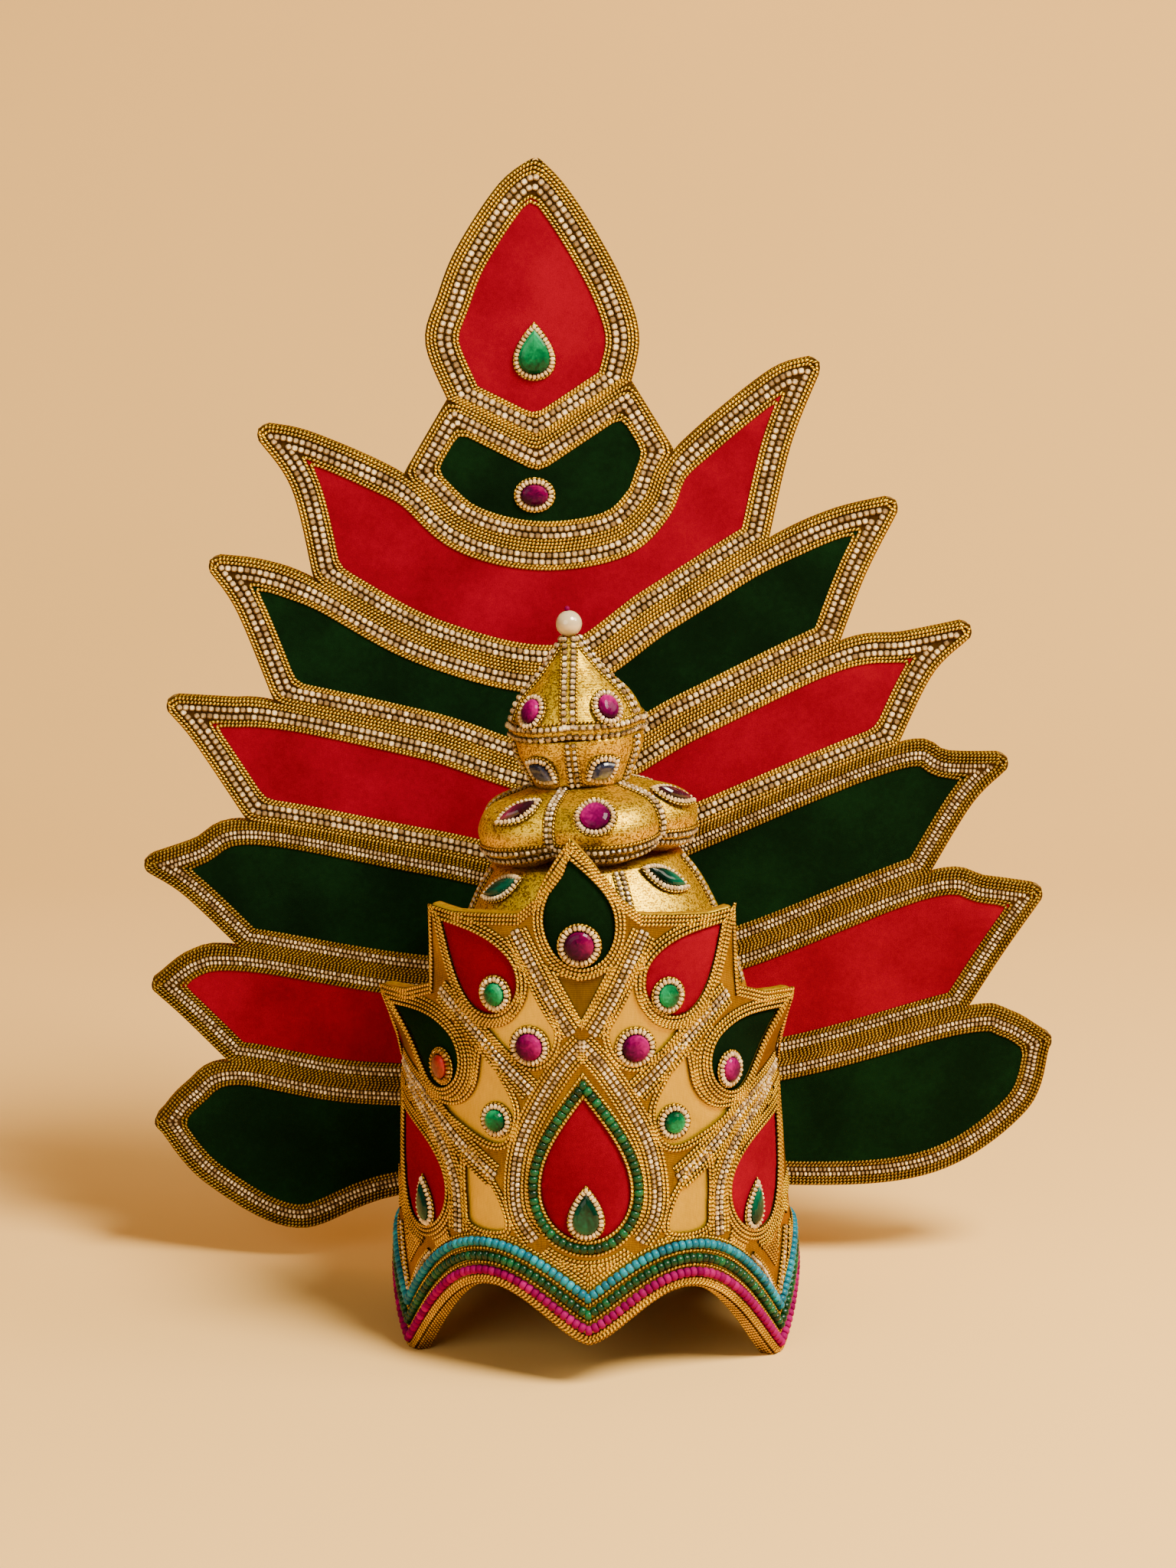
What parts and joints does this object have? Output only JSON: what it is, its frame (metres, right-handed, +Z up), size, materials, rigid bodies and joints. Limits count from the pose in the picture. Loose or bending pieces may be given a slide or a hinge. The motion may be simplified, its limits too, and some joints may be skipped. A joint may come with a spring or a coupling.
{
  "type": "dance crown",
  "caption": "Padded dance crown: a scalloped head ring with petal tips, a lobed dome topped by a pearl, and a tall flat back plate of velvet petals edged in gold cord and rhinestones.",
  "frame": {"origin": "middle of the crown's bounding box, on the surface that its hem stands on", "axes": "+Z up, from the hem to the plate's top; -Y forward, the side with the stones; +X to the right as seen from the front"},
  "size_m": [0.4242, 0.1848, 0.519],
  "materials": {
    "backing_cloth": "plain brown-gold backing cloth over board",
    "cord_and_rhinestone_trim": "antique gold metal cord with rows of clear rhinestones",
    "red_velvet": "deep red velvet",
    "green_velvet": "very dark green velvet",
    "gold_cloth": "glittering gold lurex cloth",
    "gold_cord": "twisted antique gold cord",
    "rhinestone_bands": "rows of clear faceted rhinestones in gold cups",
    "dark_green_beads": "glossy dark green seed beads",
    "magenta_beads": "glossy magenta seed beads",
    "turquoise_beads": "glossy turquoise seed beads",
    "pearl": "cream imitation pearl",
    "green_stone": "faceted green glass in a ring of small cream stones",
    "magenta_stone": "faceted magenta glass in a ring of small cream stones",
    "grey_blue_stone": "faceted grey-blue glass in a ring of small cream stones"
  },
  "bodies": {
    "root": {"back_plate": "backing_cloth", "plate_trim": "cord_and_rhinestone_trim", "flame_velvet": "red_velvet", "chevron_velvet": "green_velvet", "petal_velvet_1": "red_velvet", "petal_velvet_2": "green_velvet", "petal_velvet_3": "red_velvet", "petal_velvet_4": "green_velvet", "petal_velvet_5": "red_velvet", "petal_velvet_6": "green_velvet", "head_ring": "gold_cloth", "front_trim": "gold_cord", "centre_teardrop_velvet": "red_velvet", "side_teardrop_velvet_left": "red_velvet", "side_teardrop_velvet_right": "red_velvet", "centre_petal_velvet": "green_velvet", "upper_petal_velvet_left": "red_velvet", "upper_petal_velvet_right": "red_velvet", "lower_petal_velvet_left": "green_velvet", "lower_petal_velvet_right": "green_velvet", "teardrop_bead_ring": "dark_green_beads", "hem_beads_magenta": "magenta_beads", "hem_beads_green": "dark_green_beads", "hem_beads_blue": "turquoise_beads", "dome_base": "gold_cloth", "dome_pumpkin": "gold_cloth", "dome_neck": "gold_cloth", "dome_onion": "gold_cloth", "upper_dome_bands": "rhinestone_bands", "pumpkin_bands": "rhinestone_bands", "base_bands": "rhinestone_bands", "finial_pearl": "pearl", "flame_stone": "green_stone", "chevron_stone": "magenta_stone", "centre_teardrop_stone": "green_stone", "side_teardrop_stone_left": "green_stone", "side_teardrop_stone_right": "green_stone", "centre_petal_stone": "magenta_stone", "upper_petal_stone_left": "green_stone", "upper_petal_stone_right": "green_stone", "upper_gold_stone_left": "magenta_stone", "upper_gold_stone_right": "magenta_stone", "lower_petal_stone_left": "magenta_stone", "lower_petal_stone_right": "magenta_stone", "lower_gold_stone_left": "green_stone", "lower_gold_stone_right": "green_stone", "onion_stone_left": "magenta_stone", "onion_stone_right": "magenta_stone", "neck_stone_left": "grey_blue_stone", "neck_stone_right": "grey_blue_stone", "pumpkin_stone_left": "magenta_stone", "pumpkin_stone_centre": "magenta_stone", "pumpkin_stone_right": "magenta_stone", "base_stone_left": "green_stone", "base_stone_right": "green_stone"}
  },
  "joints": []
}
